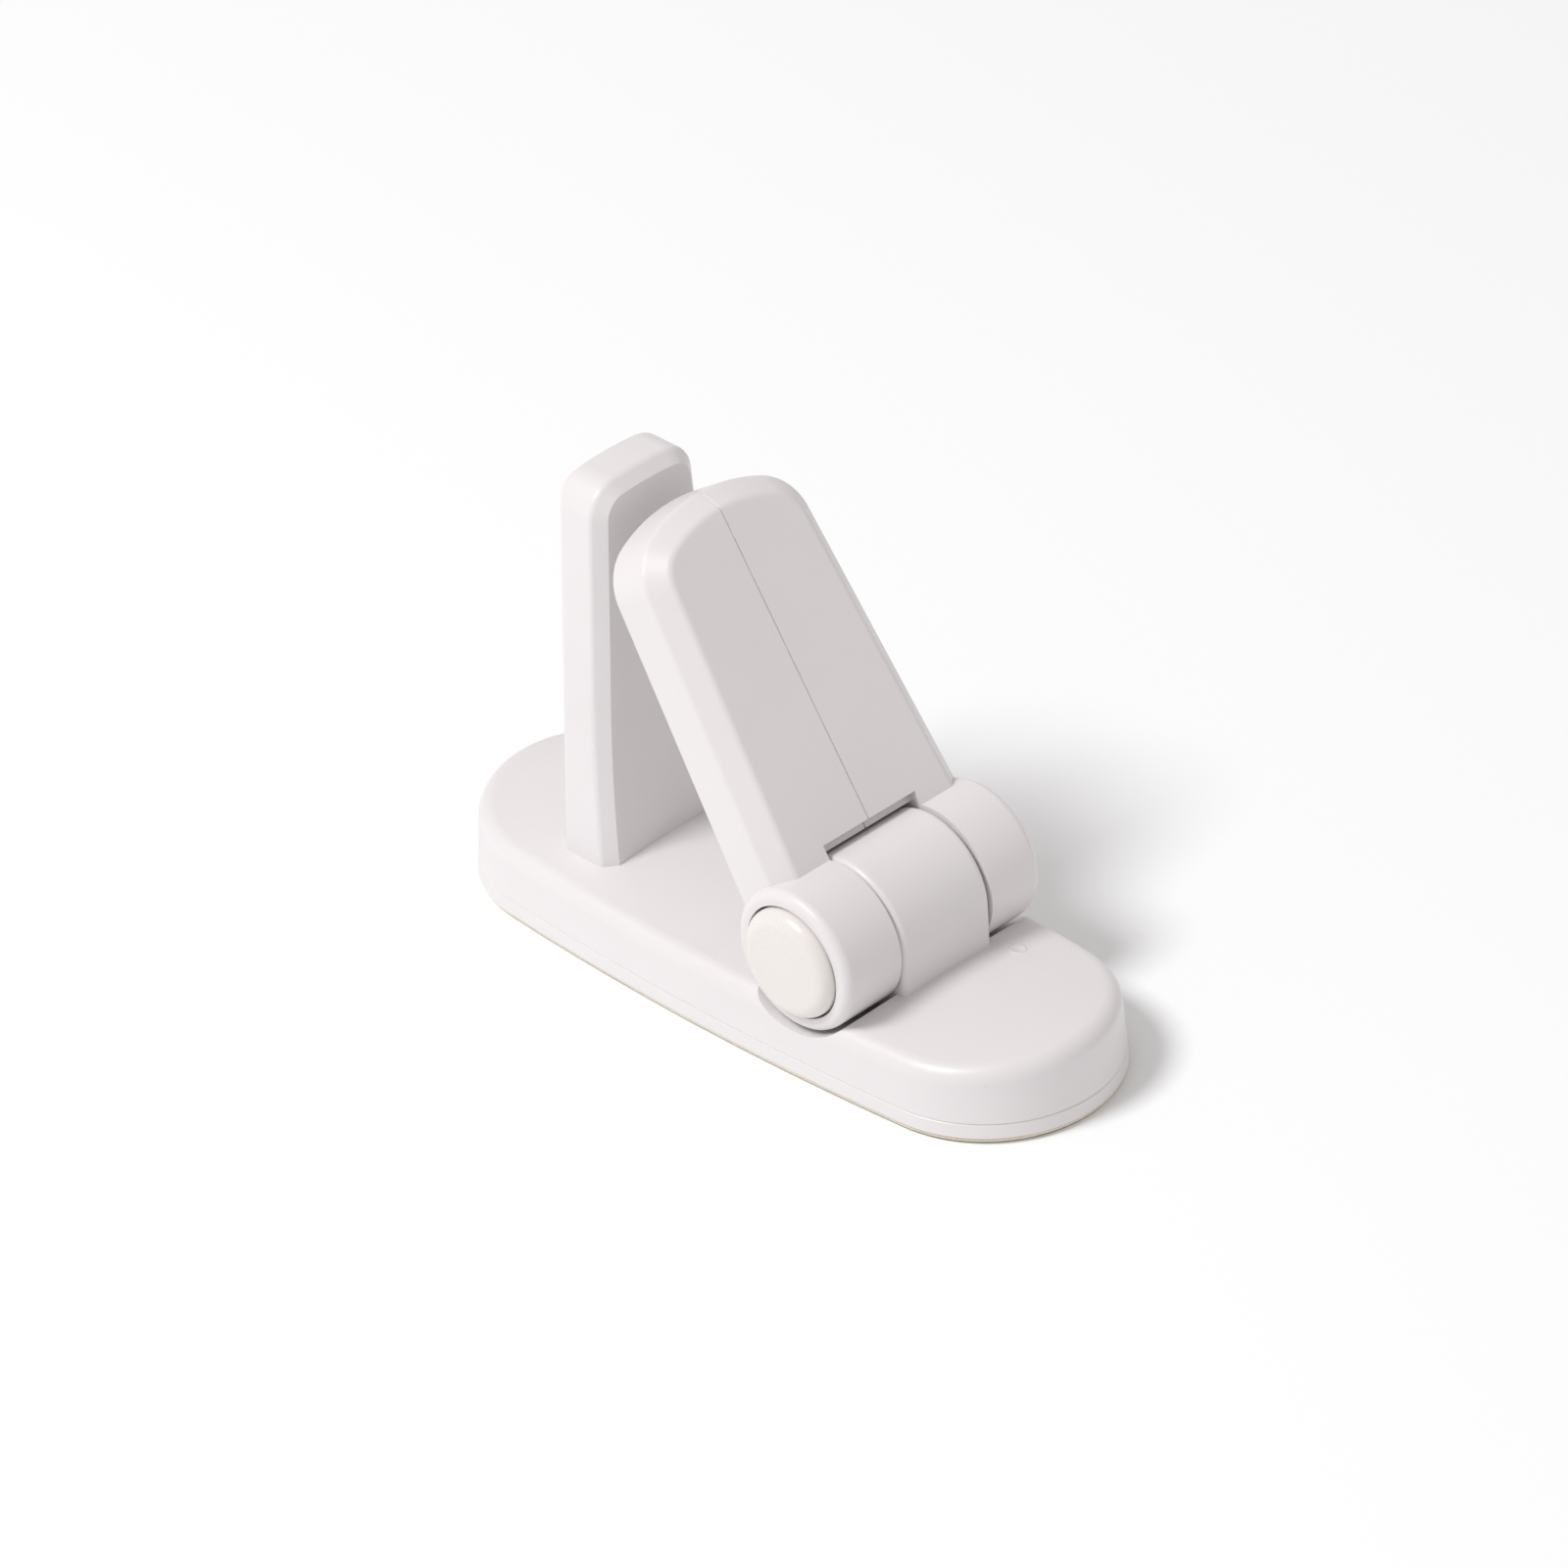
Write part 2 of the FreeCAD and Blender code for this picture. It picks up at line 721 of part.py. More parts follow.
def main():
    os.makedirs("parts", exist_ok=True)
    arm_body = make_arm_body()
    nodes = {
        "base_shell": make_base_shell(),
        "base_plate": make_base_plate(),
        "base_screws": make_base_screws(),
        "adhesive_pad": make_adhesive(liner_thickness, pad_top),
        "release_liner": make_adhesive(0.0, liner_thickness),
        "arm_half_left": make_arm_half_left(arm_body),
        "arm_half_right": make_arm_half_right(arm_body),
        "arm_screws": make_arm_screws(),
        "hinge_pin": make_hinge_pin(),
        "push_button": make_push_button(),
        "lock_gear": make_lock_gear(),
        "button_screw": make_button_screw(),
        "return_spring": make_return_spring(),
    }
    for name, shape in nodes.items():
        write(name, shape)


main()
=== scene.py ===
import bpy
import bmesh
import math
from mathutils import Matrix, Vector, noise


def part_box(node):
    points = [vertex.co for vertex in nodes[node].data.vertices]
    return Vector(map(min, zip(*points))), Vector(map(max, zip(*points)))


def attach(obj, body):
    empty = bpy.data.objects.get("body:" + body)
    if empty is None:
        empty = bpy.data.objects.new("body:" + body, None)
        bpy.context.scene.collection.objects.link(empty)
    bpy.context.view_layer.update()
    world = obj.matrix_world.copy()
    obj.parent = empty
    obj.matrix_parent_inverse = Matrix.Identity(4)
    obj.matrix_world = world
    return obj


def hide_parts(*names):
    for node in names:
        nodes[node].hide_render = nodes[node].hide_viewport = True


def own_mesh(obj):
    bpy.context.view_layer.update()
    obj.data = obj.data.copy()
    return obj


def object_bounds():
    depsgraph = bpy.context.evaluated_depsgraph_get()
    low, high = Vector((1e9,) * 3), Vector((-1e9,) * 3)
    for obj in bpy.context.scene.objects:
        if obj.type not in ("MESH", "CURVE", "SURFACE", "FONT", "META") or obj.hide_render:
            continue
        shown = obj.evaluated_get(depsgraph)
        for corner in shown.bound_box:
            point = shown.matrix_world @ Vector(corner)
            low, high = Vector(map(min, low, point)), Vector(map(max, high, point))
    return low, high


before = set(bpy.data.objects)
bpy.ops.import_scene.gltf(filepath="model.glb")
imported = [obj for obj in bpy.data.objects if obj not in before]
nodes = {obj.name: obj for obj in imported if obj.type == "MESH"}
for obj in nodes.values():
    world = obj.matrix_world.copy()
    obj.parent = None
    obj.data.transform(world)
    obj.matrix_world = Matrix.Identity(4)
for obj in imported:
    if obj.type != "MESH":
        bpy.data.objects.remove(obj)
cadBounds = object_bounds()
scene = bpy.context.scene
print("frame loaded:", len(nodes), "CAD nodes")


# camera, long lens so the long edges stay almost parallel
cameraSetup = {
    "azimuth": 47.02,
    "elevation": 33.66,
    "roll": -3.44,
    "distance": 1.5,
    "lens": 265.4,
    "sensorWidth": 36,
    "nearClip": 0.05,
    "farClip": 20,
    "aim": (-0.0099, 0.0084, 0.0194),
}


def makeCamera(setup):
    a, e = math.radians(setup["azimuth"]), math.radians(setup["elevation"])
    back = Vector((math.sin(a) * math.cos(e), -math.cos(a) * math.cos(e), math.sin(e)))
    right = Vector((math.cos(a), math.sin(a), 0))
    up = back.cross(right)
    r = math.radians(setup["roll"])
    tiltedRight = right * math.cos(r) + up * math.sin(r)
    tiltedUp = up * math.cos(r) - right * math.sin(r)
    cam = bpy.data.cameras.new("studioCamera")
    cam.lens = setup["lens"]
    cam.sensor_width = setup["sensorWidth"]
    cam.clip_start, cam.clip_end = setup["nearClip"], setup["farClip"]
    rig = bpy.data.objects.new("studioCamera", cam)
    scene.collection.objects.link(rig)
    turn = Matrix((tiltedRight, tiltedUp, back)).transposed().to_4x4()
    rig.matrix_world = Matrix.Translation(Vector(setup["aim"]) + back * setup["distance"]) @ turn
    scene.camera = rig


makeCamera(cameraSetup)
print("camera ready")


# small helpers for building node trees
def newGroup(name, inputs, outputs):
    group = bpy.data.node_groups.new(name, "ShaderNodeTree")
    for label, kind, value in inputs:
        socket = group.interface.new_socket(name=label, in_out="INPUT", socket_type=kind)
        if value is not None:
            socket.default_value = value
    for label, kind in outputs:
        group.interface.new_socket(name=label, in_out="OUTPUT", socket_type=kind)
    return group, group.nodes.new("NodeGroupInput"), group.nodes.new("NodeGroupOutput")


def addNode(tree, kind, **settings):
    node = tree.nodes.new(kind)
    for key, value in settings.items():
        setattr(node, key, value)
    return node


def wire(tree, source, target):
    tree.links.new(source, target)


def mathStep(tree, operation, first, second=None):
    node = addNode(tree, "ShaderNodeMath", operation=operation)
    for slotNumber, value in enumerate((first, second)):
        if value is None:
            continue
        if isinstance(value, (int, float)):
            node.inputs[slotNumber].default_value = value
        else:
            wire(tree, value, node.inputs[slotNumber])
    return node.outputs[0]


def noiseField(tree, vector, scale, detail=2.0, roughness=0.5):
    node = addNode(tree, "ShaderNodeTexNoise")
    node.inputs["Detail"].default_value = detail
    node.inputs["Roughness"].default_value = roughness
    wire(tree, vector, node.inputs["Vector"])
    if isinstance(scale, (int, float)):
        node.inputs["Scale"].default_value = scale
    else:
        wire(tree, scale, node.inputs["Scale"])
    return node.outputs["Fac"]


def remap(tree, value, low, high, toLow=0.0, toHigh=1.0):
    node = addNode(tree, "ShaderNodeMapRange", interpolation_type="SMOOTHSTEP")
    for key, number in (("From Min", low), ("From Max", high), ("To Min", toLow), ("To Max", toHigh)):
        node.inputs[key].default_value = number
    wire(tree, value, node.inputs["Value"])
    return node.outputs["Result"]


# sockets 0, 6 and 7 of a Mix node are the factor and the two colours
def mixColours(tree, factor, first, second):
    node = addNode(tree, "ShaderNodeMix", data_type="RGBA")
    for place, value in ((0, factor), (6, first), (7, second)):
        if isinstance(value, (int, float, tuple)):
            node.inputs[place].default_value = value
        else:
            wire(tree, value, node.inputs[place])
    return node.outputs[2]


# spark-eroded mould skin: fine pits over slower waviness
def buildMouldSkin():
    group, given, out = newGroup(
        "mouldSkin",
        [("Vector", "NodeSocketVector", None), ("Pit Scale", "NodeSocketFloat", 3200.0),
         ("Wave Scale", "NodeSocketFloat", 90.0), ("Pit Amount", "NodeSocketFloat", 0.6),
         ("Base Roughness", "NodeSocketFloat", 0.35)],
        [("Height", "NodeSocketFloat"), ("Roughness", "NodeSocketFloat")],
    )
    pits = noiseField(group, given.outputs["Vector"], given.outputs["Pit Scale"], 3.0, 0.6)
    waves = noiseField(group, given.outputs["Vector"], given.outputs["Wave Scale"], 1.0, 0.4)
    pitHeight = mathStep(group, "MULTIPLY", pits, given.outputs["Pit Amount"])
    waveHeight = mathStep(group, "MULTIPLY", waves, 1.6)
    wire(group, mathStep(group, "ADD", pitHeight, waveHeight), out.inputs["Height"])
    drift = remap(group, waves, 0.3, 0.7, -0.04, 0.04)
    speck = remap(group, pits, 0.35, 0.65, -0.03, 0.03)
    shift = mathStep(group, "ADD", drift, speck)
    rough = mathStep(group, "ADD", given.outputs["Base Roughness"], shift)
    wire(group, rough, out.inputs["Roughness"])
    return group


# slow colour drift of a moulding, with faint flow streaks from the gate
def buildResinColour():
    group, given, out = newGroup(
        "resinColour",
        [("Vector", "NodeSocketVector", None), ("Color", "NodeSocketColor", (0.8, 0.8, 0.8, 1)),
         ("Shade Color", "NodeSocketColor", (0.7, 0.7, 0.7, 1)), ("Drift", "NodeSocketFloat", 0.3),
         ("Streaks", "NodeSocketFloat", 0.15)],
        [("Color", "NodeSocketColor")],
    )
    cloud = remap(group, noiseField(group, given.outputs["Vector"], 38.0, 2.0, 0.5), 0.35, 0.7)
    stretch = addNode(group, "ShaderNodeMapping")
    stretch.inputs["Scale"].default_value = (0.25, 1.0, 1.0)
    wire(group, given.outputs["Vector"], stretch.inputs["Vector"])
    streak = remap(group, noiseField(group, stretch.outputs["Vector"], 420.0, 3.0, 0.6), 0.55, 0.75)
    amount = mathStep(
        group, "ADD",
        mathStep(group, "MULTIPLY", cloud, given.outputs["Drift"]),
        mathStep(group, "MULTIPLY", streak, given.outputs["Streaks"]),
    )
    colour = mixColours(group, amount, given.outputs["Color"], given.outputs["Shade Color"])
    wire(group, colour, out.inputs["Color"])
    return group


# dust settled in small specks and hairline scuffs, both as masks
def buildHandling():
    group, given, out = newGroup(
        "handling",
        [("Vector", "NodeSocketVector", None), ("Dust", "NodeSocketFloat", 0.3),
         ("Scuffs", "NodeSocketFloat", 0.3)],
        [("Dust Mask", "NodeSocketFloat"), ("Scuff Mask", "NodeSocketFloat")],
    )
    cells = addNode(group, "ShaderNodeTexVoronoi", feature="F1")
    cells.inputs["Scale"].default_value = 310.0
    wire(group, given.outputs["Vector"], cells.inputs["Vector"])
    speck = remap(group, cells.outputs["Distance"], 0.035, 0.075, 1.0, 0.0)
    thin = remap(group, noiseField(group, given.outputs["Vector"], 70.0), 0.5, 0.62)
    settled = mathStep(group, "MULTIPLY", speck, thin)
    dust = mathStep(group, "MULTIPLY", settled, given.outputs["Dust"])
    wire(group, dust, out.inputs["Dust Mask"])
    turned = addNode(group, "ShaderNodeMapping")
    turned.inputs["Rotation"].default_value = (0.5, 0.9, 0.7)
    turned.inputs["Scale"].default_value = (1.0, 14.0, 14.0)
    wire(group, given.outputs["Vector"], turned.inputs["Vector"])
    lines = noiseField(group, turned.outputs["Vector"], 95.0, 1.0, 0.5)
    hair = mathStep(group, "ABSOLUTE", mathStep(group, "SUBTRACT", lines, 0.5))
    scuff = remap(group, hair, 0.0, 0.006, 1.0, 0.0)
    patch = remap(group, noiseField(group, given.outputs["Vector"], 55.0), 0.52, 0.66)
    patched = mathStep(group, "MULTIPLY", scuff, patch)
    scuff = mathStep(group, "MULTIPLY", patched, given.outputs["Scuffs"])
    wire(group, scuff, out.inputs["Scuff Mask"])
    return group


# turned or drawn metal: fine rings or lines with a little stain
def buildMetalLay():
    group, given, out = newGroup(
        "metalLay",
        [("Vector", "NodeSocketVector", None), ("Lay Scale", "NodeSocketFloat", 2600.0),
         ("Base Roughness", "NodeSocketFloat", 0.3)],
        [("Height", "NodeSocketFloat"), ("Roughness", "NodeSocketFloat"), ("Stain", "NodeSocketFloat")],
    )
    squeeze = addNode(group, "ShaderNodeMapping")
    squeeze.inputs["Scale"].default_value = (1.0, 1.0, 0.08)
    wire(group, given.outputs["Vector"], squeeze.inputs["Vector"])
    lay = noiseField(group, squeeze.outputs["Vector"], given.outputs["Lay Scale"], 2.0, 0.6)
    stain = remap(group, noiseField(group, given.outputs["Vector"], 500.0, 3.0), 0.48, 0.7)
    wire(group, lay, out.inputs["Height"])
    wire(group, stain, out.inputs["Stain"])
    drift = remap(group, lay, 0.3, 0.7, -0.06, 0.06)
    shift = mathStep(group, "ADD", drift, mathStep(group, "MULTIPLY", stain, 0.1))
    rough = mathStep(group, "ADD", given.outputs["Base Roughness"], shift)
    wire(group, rough, out.inputs["Roughness"])
    return group


# closed foam cells of the tape
def buildFoamCells():
    group, given, out = newGroup(
        "foamCells",
        [("Vector", "NodeSocketVector", None), ("Cell Scale", "NodeSocketFloat", 4200.0)],
        [("Height", "NodeSocketFloat"), ("Cell Mask", "NodeSocketFloat")],
    )
    cells = addNode(group, "ShaderNodeTexVoronoi", feature="F1")
    wire(group, given.outputs["Vector"], cells.inputs["Vector"])
    wire(group, given.outputs["Cell Scale"], cells.inputs["Scale"])
    wire(group, cells.outputs["Distance"], out.inputs["Height"])
    mask = remap(group, cells.outputs["Distance"], 0.1, 0.5, 1.0, 0.0)
    wire(group, mask, out.inputs["Cell Mask"])
    return group


# painted shade: a narrow darker line where two mouldings meet, on the plane y = 0, broken up by noise
def buildSeamShadeLine():
    group, given, out = newGroup(
        "seamShadeLine",
        [("Vector", "NodeSocketVector", None), ("Half Width", "NodeSocketFloat", 0.0002),
         ("Depth", "NodeSocketFloat", 0.5)],
        [("Mask", "NodeSocketFloat")],
    )
    split = addNode(group, "ShaderNodeSeparateXYZ")
    wire(group, given.outputs["Vector"], split.inputs["Vector"])
    away = mathStep(group, "ABSOLUTE", split.outputs["Y"])
    share = mathStep(group, "DIVIDE", away, given.outputs["Half Width"])
    line = remap(group, share, 0.35, 1.0, 1.0, 0.0)
    lineBreakNoise = noiseField(group, given.outputs["Vector"], 260.0, 2.0)
    breaks = remap(group, lineBreakNoise, 0.3, 0.55, 0.55, 1.0)
    broken = mathStep(group, "MULTIPLY", line, breaks)
    line = mathStep(group, "MULTIPLY", broken, given.outputs["Depth"])
    wire(group, line, out.inputs["Mask"])
    return group


mouldSkin = buildMouldSkin()
seamShadeLine = buildSeamShadeLine()
resinColour = buildResinColour()
handling = buildHandling()
metalLay = buildMetalLay()
foamCells = buildFoamCells()
print("shared shader groups ready")


def startMaterial(name):
    material = bpy.data.materials.new(name)
    material.use_nodes = True
    tree = material.node_tree
    shader = tree.nodes["Principled BSDF"]
    place = addNode(tree, "ShaderNodeTexCoord").outputs["Object"]
    return material, tree, shader, place


def placeGroup(tree, group, vector, **values):
    node = addNode(tree, "ShaderNodeGroup", node_tree=group)
    wire(tree, vector, node.inputs["Vector"])
    for key, value in values.items():
        label = "".join(" " + c if c.isupper() else c for c in key).strip().title()
        node.inputs[label].default_value = value
    return node


def addBump(tree, shader, height, strength, distance):
    bump = addNode(tree, "ShaderNodeBump")
    bump.inputs["Strength"].default_value = strength
    bump.inputs["Distance"].default_value = distance
    wire(tree, height, bump.inputs["Height"])
    wire(tree, bump.outputs["Normal"], shader.inputs["Normal"])


def makeMouldedPlastic(name, look):
    material, tree, shader, place = startMaterial(name)
    resin = placeGroup(
        tree, resinColour, place, color=look["colour"], shadeColor=look["shade"],
        drift=look["drift"], streaks=look["streaks"],
    )
    touch = placeGroup(tree, handling, place, dust=look["dust"], scuffs=look["scuffs"])
    skin = placeGroup(
        tree, mouldSkin, place, pitScale=look["pitScale"], waveScale=look["waveScale"],
        pitAmount=look["pitAmount"], baseRoughness=look["roughness"],
    )
    dustAndSeamShade = mixColours(tree, touch.outputs["Dust Mask"], resin.outputs["Color"], look["dustColour"])
    # painted shade: where a look has a seam, a darker line is mixed into the base colour along the
    # joint of the two arm halves
    if look.get("seam"):
        seamShade = placeGroup(tree, seamShadeLine, place, halfWidth=look["seam"], depth=look["seamShadeStrength"])
        dustAndSeamShade = mixColours(tree, seamShade.outputs["Mask"], dustAndSeamShade, look["seamShadeColour"])
    wire(tree, dustAndSeamShade, shader.inputs["Base Color"])
    duller = mathStep(tree, "MULTIPLY", touch.outputs["Scuff Mask"], look["scuffRoughness"])
    rough = mathStep(tree, "ADD", skin.outputs["Roughness"], duller)
    wire(tree, rough, shader.inputs["Roughness"])
    dip = mathStep(tree, "MULTIPLY", touch.outputs["Scuff Mask"], look["scuffDip"])
    height = mathStep(tree, "SUBTRACT", skin.outputs["Height"], dip)
    addBump(tree, shader, height, look["bump"], look["bumpDepth"])
    shader.inputs["IOR"].default_value = look["ior"]
    shader.inputs["Subsurface Weight"].default_value = look["glow"]
    shader.inputs["Subsurface Radius"].default_value = look["glowRadius"]
    shader.inputs["Subsurface Scale"].default_value = 1.0
    return material


def makeMetal(name, look):
    material, tree, shader, place = startMaterial(name)
    lay = placeGroup(tree, metalLay, place, layScale=look["layScale"], baseRoughness=look["roughness"])
    colour = mixColours(tree, lay.outputs["Stain"], look["colour"], look["stainColour"])
    wire(tree, colour, shader.inputs["Base Color"])
    wire(tree, lay.outputs["Roughness"], shader.inputs["Roughness"])
    addBump(tree, shader, lay.outputs["Height"], look["bump"], look["bumpDepth"])
    shader.inputs["Metallic"].default_value = 1.0
    return material


bodyLook = {
    "colour": (0.775, 0.755, 0.76, 1), "shade": (0.745, 0.72, 0.725, 1),
    "dustColour": (0.62, 0.59, 0.57, 1),
    "drift": 0.5, "streaks": 0.18, "dust": 0.25, "scuffs": 0.35,
    "pitScale": 3600.0, "waveScale": 85.0, "pitAmount": 0.55, "roughness": 0.36,
    "scuffRoughness": 0.2, "scuffDip": 0.5, "bump": 0.35, "bumpDepth": 0.00003,
    "ior": 1.53, "glow": 0.04, "glowRadius": (0.0012, 0.0011, 0.001),
}
armLook = dict(
    bodyLook, colour=(0.775, 0.75, 0.75, 1), shade=(0.74, 0.71, 0.712, 1), roughness=0.38,
    # seam keys paint a line of shade along the joint of the two arm halves
    seam=0.00022, seamShadeStrength=0.45, seamShadeColour=(0.5, 0.455, 0.45, 1),
)
buttonLook = dict(
    bodyLook, colour=(0.785, 0.755, 0.725, 1), shade=(0.755, 0.722, 0.685, 1), roughness=0.3,
    streaks=0.05, pitAmount=0.05, bump=0.05, waveScale=60.0, dust=0.02, scuffs=0.1,
)
plateLook = dict(bodyLook, roughness=0.42, scuffs=0.15)
gearLook = dict(
    bodyLook, colour=(0.76, 0.76, 0.73, 1), shade=(0.70, 0.70, 0.66, 1),
    roughness=0.45, pitScale=5200.0,
)
zincLook = {
    "colour": (0.66, 0.67, 0.69, 1), "stainColour": (0.52, 0.52, 0.53, 1),
    "layScale": 2600.0, "roughness": 0.3, "bump": 0.25, "bumpDepth": 0.00002,
}
pinLook = dict(
    zincLook, colour=(0.62, 0.62, 0.63, 1), stainColour=(0.5, 0.5, 0.5, 1),
    layScale=3400.0, roughness=0.22,
)
springLook = dict(
    zincLook, colour=(0.5, 0.5, 0.52, 1), stainColour=(0.36, 0.35, 0.35, 1),
    layScale=2000.0, roughness=0.33,
)

bodyPlastic = makeMouldedPlastic("satinWhiteBody", bodyLook)
armPlastic = makeMouldedPlastic("satinWhiteArm", armLook)
buttonPlastic = makeMouldedPlastic("ivoryButton", buttonLook)
platePlastic = makeMouldedPlastic("satinWhitePlate", plateLook)
gearPlastic = makeMouldedPlastic("naturalAcetal", gearLook)
zincSteel = makeMetal("zincScrew", zincLook)
pinSteel = makeMetal("groundPin", pinLook)
springSteel = makeMetal("springWire", springLook)

foamLook = {
    "colour": (0.80, 0.735, 0.61, 1), "cell": (0.68, 0.61, 0.49, 1), "cellScale": 4200.0,
    "roughness": 0.85, "bump": 0.6, "bumpDepth": 0.00008,
}
linerLook = {
    "colour": (0.42, 0.40, 0.37, 1), "shade": (0.33, 0.315, 0.29, 1), "drift": 0.7, "streaks": 0.4,
    "pitScale": 2400.0, "waveScale": 160.0, "pitAmount": 0.3, "roughness": 0.5,
    "bump": 0.3, "bumpDepth": 0.00003,
}


def makeFoam(look):
    material, tree, shader, place = startMaterial("tanFoam")
    cells = placeGroup(tree, foamCells, place, cellScale=look["cellScale"])
    colour = mixColours(tree, cells.outputs["Cell Mask"], look["colour"], look["cell"])
    wire(tree, colour, shader.inputs["Base Color"])
    addBump(tree, shader, cells.outputs["Height"], look["bump"], look["bumpDepth"])
    shader.inputs["Roughness"].default_value = look["roughness"]
    return material


def makeLiner(look):
    material, tree, shader, place = startMaterial("waxedLiner")
    resin = placeGroup(
        tree, resinColour, place, color=look["colour"], shadeColor=look["shade"],
        drift=look["drift"], streaks=look["streaks"],
    )
    skin = placeGroup(
        tree, mouldSkin, place, pitScale=look["pitScale"], waveScale=look["waveScale"],
        pitAmount=look["pitAmount"], baseRoughness=look["roughness"],
    )
    wire(tree, resin.outputs["Color"], shader.inputs["Base Color"])
    wire(tree, skin.outputs["Roughness"], shader.inputs["Roughness"])
    addBump(tree, shader, skin.outputs["Height"], look["bump"], look["bumpDepth"])
    return material


foamTan = makeFoam(foamLook)
finishes = {
    "base_shell": bodyPlastic, "base_plate": platePlastic, "base_screws": zincSteel,
    "adhesive_pad": foamTan, "release_liner": makeLiner(linerLook),
    "arm_half_left": armPlastic, "arm_half_right": armPlastic, "arm_screws": zincSteel,
    "hinge_pin": pinSteel, "push_button": buttonPlastic, "lock_gear": gearPlastic,
    "button_screw": zincSteel, "return_spring": springSteel,
}
for name, material in finishes.items():
    slots = nodes[name].data.materials
    slots.clear()
    slots.append(material)
print("materials ready:", len(finishes))


# foam tape: the pad's own outline, cut in layers, with the edge squeezed out a little
foamEdge = {
    "layers": 4, "bulge": 0.0004, "ripple": 0.00005, "rippleScale": 900.0,
    "weldDistance": 0.000002, "faceShare": 0.99, "sidewaysLeast": 0.5,
}


def makeFoamTape(setup):
    low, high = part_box("adhesive_pad")
    middle, half = (low + high) / 2, (high.z - low.z) / 2
    bm = bmesh.new()
    bm.from_mesh(nodes["adhesive_pad"].data)
    bmesh.ops.remove_doubles(bm, verts=bm.verts, dist=setup["weldDistance"])
    for layer in range(1, setup["layers"]):
        height = low.z + (high.z - low.z) * layer / setup["layers"]
        everything = bm.verts[:] + bm.edges[:] + bm.faces[:]
        bmesh.ops.bisect_plane(bm, geom=everything, plane_co=(0, 0, height), plane_no=(0, 0, 1))
    for vert in bm.verts:
        share = (vert.co.z - middle.z) / half
        if abs(share) > setup["faceShare"]:
            continue
        outward = Vector((vert.normal.x, vert.normal.y, 0))
        if outward.length < setup["sidewaysLeast"]:
            continue
        ripple = noise.noise(vert.co * setup["rippleScale"]) * setup["ripple"]
        vert.co += outward.normalized() * (setup["bulge"] * (1 - share * share) + ripple)
    mesh = bpy.data.meshes.new("foamTape")
    bm.to_mesh(mesh)
    bm.free()
    mesh.materials.clear()
    mesh.materials.append(foamTan)
    tape = bpy.data.objects.new("foamTape", mesh)
    scene.collection.objects.link(tape)
    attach(tape, "base")
    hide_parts("adhesive_pad")


# mould gate mark: a low trimmed ring on the base top beside the hinge
gateMark = {
    "fromHingeX": 0.0129, "fromMiddleY": 0.0095, "radius": 0.0009, "ringWidth": 0.0004,
    "proud": 0.00009, "steps": 28, "castHeight": 0.1,
}


def makeGateMark(setup):
    shell = nodes["base_shell"]
    pinLow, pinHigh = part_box("hinge_pin")
    x = (pinLow.x + pinHigh.x) / 2 + setup["fromHingeX"]
    y = setup["fromMiddleY"]
    bm = bmesh.new()
    rings = []
    # share of the ring width outside the radius, and height in parts of how proud it is
    profile = ((1.0, -1.0), (0.7, 1.0), (0.0, 1.0), (-0.3, 0.2))
    for widthShare, rise in profile:
        radius = setup["radius"] + widthShare * setup["ringWidth"]
        ring = []
        for step in range(setup["steps"]):
            turn = 2 * math.pi * step / setup["steps"]
            across, along = radius * math.cos(turn), radius * math.sin(turn)
            spot = Vector((x + across, y + along, setup["castHeight"]))
            hit, place, normal, face = shell.ray_cast(spot, Vector((0, 0, -1)))
            ring.append(bm.verts.new(place + normal * rise * setup["proud"]))
        rings.append(ring)
    for outer, inner in zip(rings, rings[1:]):
        for step in range(setup["steps"]):
            after = (step + 1) % setup["steps"]
            bm.faces.new((outer[step], outer[after], inner[after], inner[step]))
    bm.faces.new(rings[-1])
    bmesh.ops.recalc_face_normals(bm, faces=bm.faces)
    mesh = bpy.data.meshes.new("gateMark")
    bm.to_mesh(mesh)
    bm.free()
    mesh.shade_smooth()
    mesh.materials.append(bodyPlastic)
    mark = bpy.data.objects.new("gateMark", mesh)
    scene.collection.objects.link(mark)
    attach(mark, "base")


# return spring: closed end coils, open coils between; the real spring shortens as the button goes in,
# this coil is built at one fixed length
coilSetup = {
    "wireRadius": 0.0004, "endTurns": 1.0, "openTurns": 4.5, "closedPitch": 2.1,
    "stepsPerTurn": 30, "wireSides": 10,
}


def coilHeight(turn, setup, length):
    closed = setup["closedPitch"] * setup["wireRadius"]
    allTurns = 2 * setup["endTurns"] + setup["openTurns"]
    openPitch = (length - 2 * setup["endTurns"] * closed) / setup["openTurns"]
    if turn < setup["endTurns"]:
        return turn * closed
    if turn > allTurns - setup["endTurns"]:
        return length - (allTurns - turn) * closed
    return setup["endTurns"] * closed + (turn - setup["endTurns"]) * openPitch


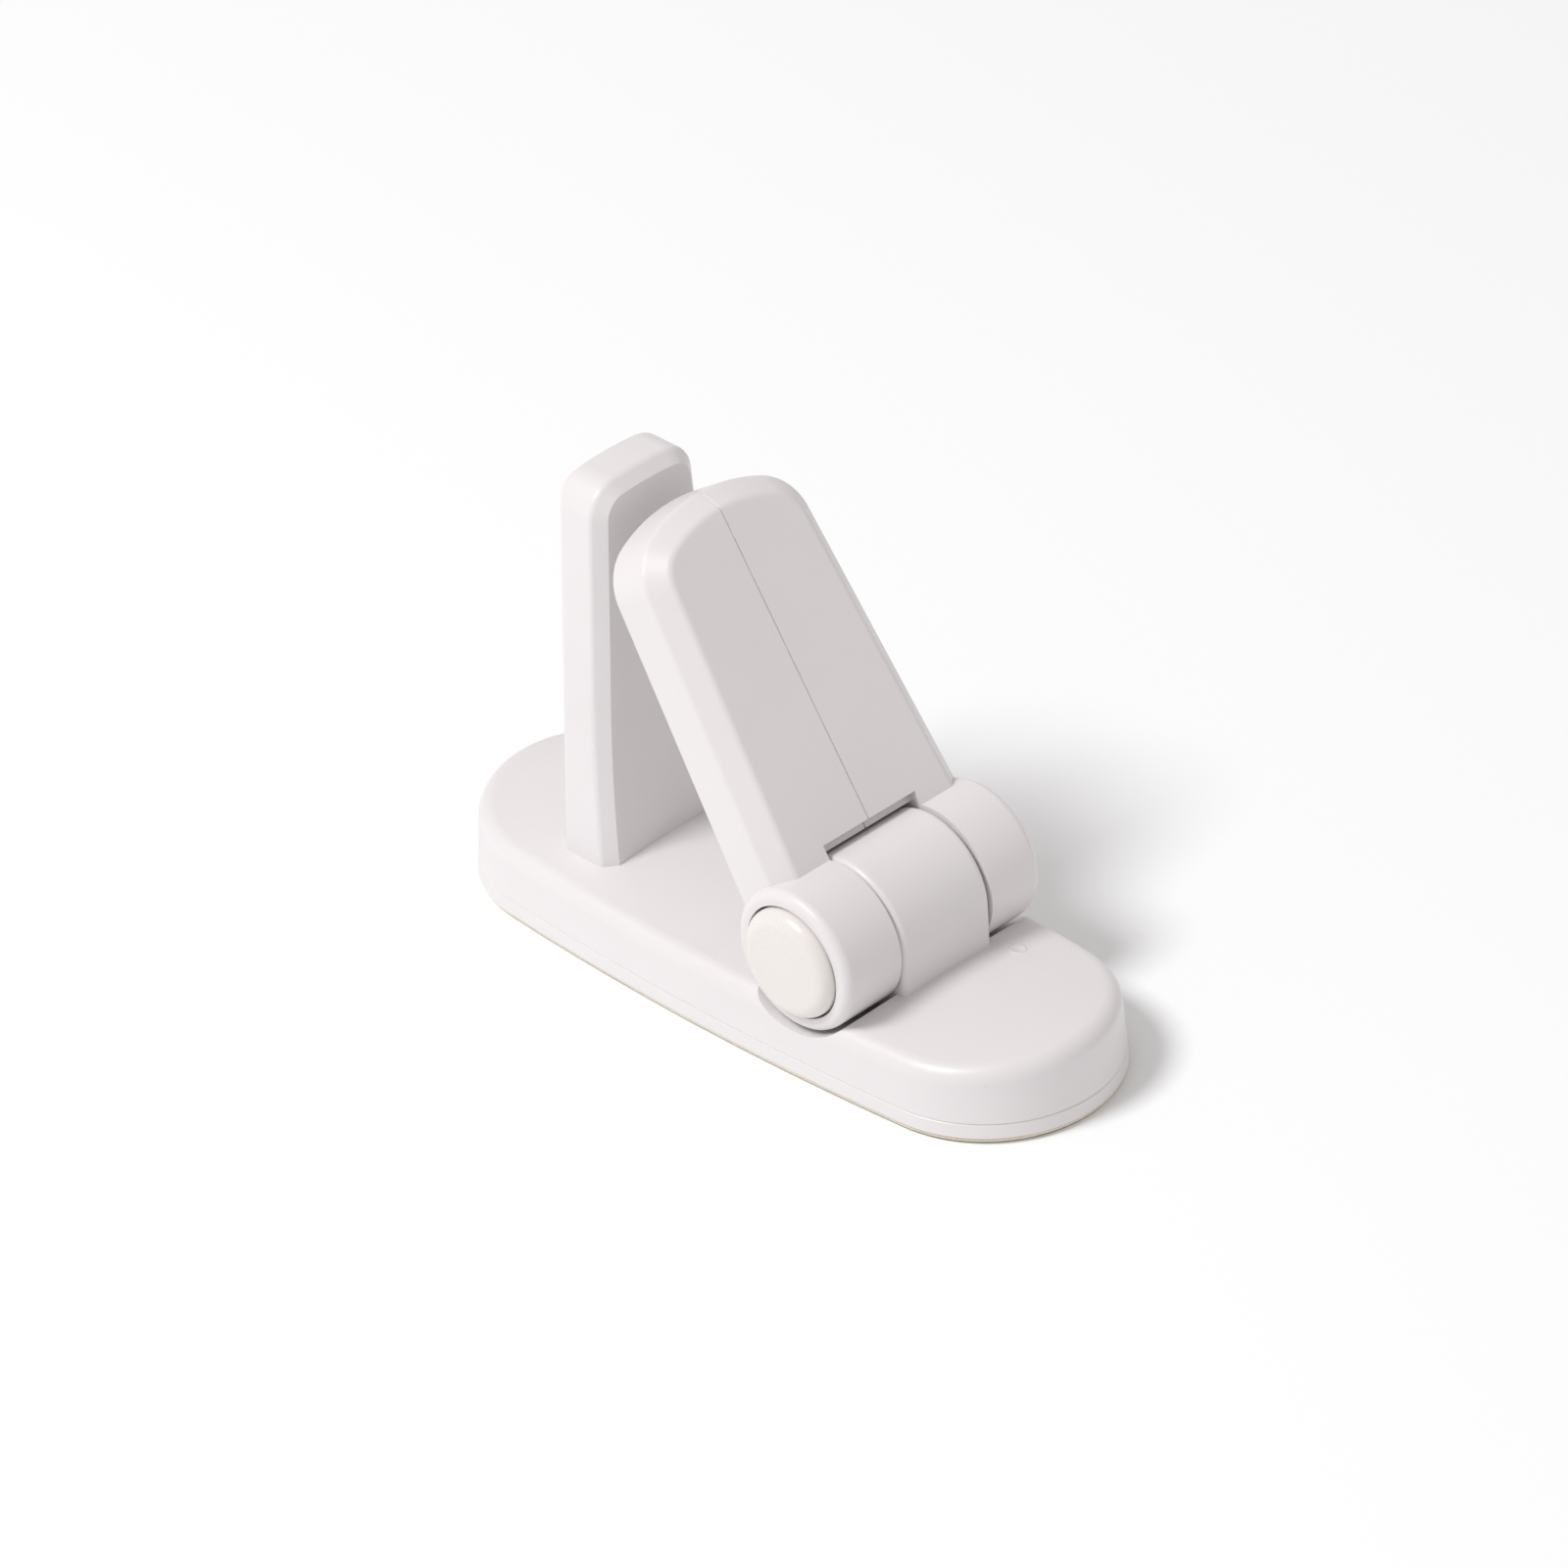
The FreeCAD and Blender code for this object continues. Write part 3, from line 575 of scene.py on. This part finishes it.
def makeReturnSpring(setup):
    low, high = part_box("return_spring")
    thick = setup["wireRadius"]
    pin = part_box("hinge_pin")
    axisX, axisZ = (pin[0].x + pin[1].x) / 2, (pin[0].z + pin[1].z) / 2
    meanRadius = min(high.x - axisX, axisX - low.x, high.z - axisZ, axisZ - low.z) - thick
    length = high.y - low.y - 2 * thick
    allTurns = 2 * setup["endTurns"] + setup["openTurns"]
    total = int(allTurns * setup["stepsPerTurn"])
    bm = bmesh.new()
    rings = []
    for step in range(total + 1):
        turn = allTurns * step / total
        angle = 2 * math.pi * turn
        outward = Vector((math.cos(angle), 0, math.sin(angle)))
        along = low.y + thick + coilHeight(turn, setup, length)
        centre = Vector((axisX, along, axisZ)) + outward * meanRadius
        ring = []
        for side in range(setup["wireSides"]):
            around = 2 * math.pi * side / setup["wireSides"]
            spoke = outward * math.cos(around) + Vector((0, math.sin(around), 0))
            ring.append(bm.verts.new(centre + spoke * thick))
        rings.append(ring)
    for first, second in zip(rings, rings[1:]):
        for side in range(setup["wireSides"]):
            after = (side + 1) % setup["wireSides"]
            bm.faces.new((first[side], first[after], second[after], second[side]))
    bm.faces.new(rings[0])
    bm.faces.new(rings[-1])
    bmesh.ops.recalc_face_normals(bm, faces=bm.faces)
    mesh = bpy.data.meshes.new("springCoil")
    bm.to_mesh(mesh)
    bm.free()
    mesh.shade_smooth()
    mesh.materials.append(springSteel)
    coil = bpy.data.objects.new("springCoil", mesh)
    scene.collection.objects.link(coil)
    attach(coil, "base")
    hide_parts("return_spring")
    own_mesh(coil)


makeFoamTape(foamEdge)
makeReturnSpring(coilSetup)
makeGateMark(gateMark)
print("foam tape, spring and gate mark built")


# studio: pale floor, big soft key from the front left, bright room
studio = {
    "floorColour": (0.96, 0.985, 0.985, 1), "floorHalf": 6.0, "floorDrop": 0.00005,
    "floorRoughness": 0.9, "floorSpecular": 0.1,
    "grainScale": 900.0, "grainDetail": 3.0, "grainBump": 0.05, "grainDepth": 0.0001,
    "keyFrom": (-0.34, -0.98, 1.47), "keySize": 0.6, "keyPower": 19.0,
    "roomColour": (1.0, 0.945, 0.945, 1), "roomStrength": 0.58,
}


def makeFloor(setup):
    half = setup["floorHalf"]
    mesh = bpy.data.meshes.new("studioFloor")
    bm = bmesh.new()
    height = cadBounds[0].z - setup["floorDrop"]
    corners = ((-half, -half), (half, -half), (half, half), (-half, half))
    bm.faces.new([bm.verts.new((x, y, height)) for x, y in corners])
    bm.to_mesh(mesh)
    bm.free()
    floor = bpy.data.objects.new("studioFloor", mesh)
    scene.collection.objects.link(floor)
    material, tree, shader, place = startMaterial("palePaper")
    shader.inputs["Base Color"].default_value = setup["floorColour"]
    shader.inputs["Roughness"].default_value = setup["floorRoughness"]
    shader.inputs["Specular IOR Level"].default_value = setup["floorSpecular"]
    grain = noiseField(tree, place, setup["grainScale"], setup["grainDetail"])
    addBump(tree, shader, grain, setup["grainBump"], setup["grainDepth"])
    mesh.materials.append(material)


def makeAreaLight(name, origin, size, power):
    light = bpy.data.lights.new(name, "AREA")
    light.shape, light.size, light.energy = "DISK", size, power
    lamp = bpy.data.objects.new(name, light)
    scene.collection.objects.link(lamp)
    lamp.location = origin
    lamp.rotation_mode = "QUATERNION"
    lamp.rotation_quaternion = (-Vector(origin)).to_track_quat("-Z", "Y")


makeFloor(studio)
makeAreaLight("keyLight", studio["keyFrom"], studio["keySize"], studio["keyPower"])
scene.view_settings.view_transform = "Standard"  # keeps white plastic white
room = bpy.data.worlds.new("studioRoom")
room.use_nodes = True
room.node_tree.nodes["Background"].inputs["Color"].default_value = studio["roomColour"]
room.node_tree.nodes["Background"].inputs["Strength"].default_value = studio["roomStrength"]
scene.world = room
print("studio ready")
